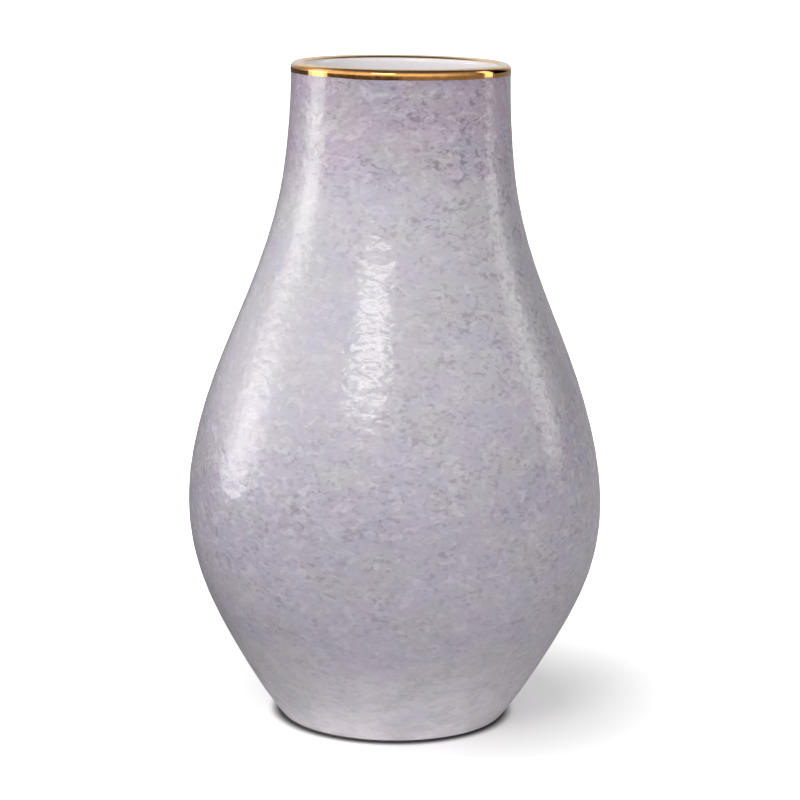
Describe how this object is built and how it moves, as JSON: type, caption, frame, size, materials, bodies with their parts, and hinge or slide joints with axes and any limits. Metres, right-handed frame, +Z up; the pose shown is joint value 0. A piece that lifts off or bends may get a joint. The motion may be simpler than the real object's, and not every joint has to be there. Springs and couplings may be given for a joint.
{
  "type": "vase",
  "caption": "Tall pear-shaped porcelain vase with an upright collar neck, a gilded full-round lip, mottled glaze outside, white glaze inside and a turned foot ring.",
  "frame": {"origin": "centre of the flat foot ring's contact plane, on the vase's axis", "axes": "+Z up along the axis of revolution, out of the mouth; X and Y lie in the foot plane, with the pictured side facing -Y"},
  "size_m": [0.214, 0.214, 0.34],
  "materials": {
    "biscuit_porcelain": "matte",
    "lilac_mottled_glaze": "gloss",
    "white_glaze": "gloss",
    "gold_lustre": "polished"
  },
  "bodies": {
    "root": {"porcelain_body": "biscuit_porcelain", "mottled_glaze": "lilac_mottled_glaze", "liner_glaze": "white_glaze", "gold_rim_band": "gold_lustre", "base_recess_glaze": "white_glaze"}
  },
  "joints": []
}
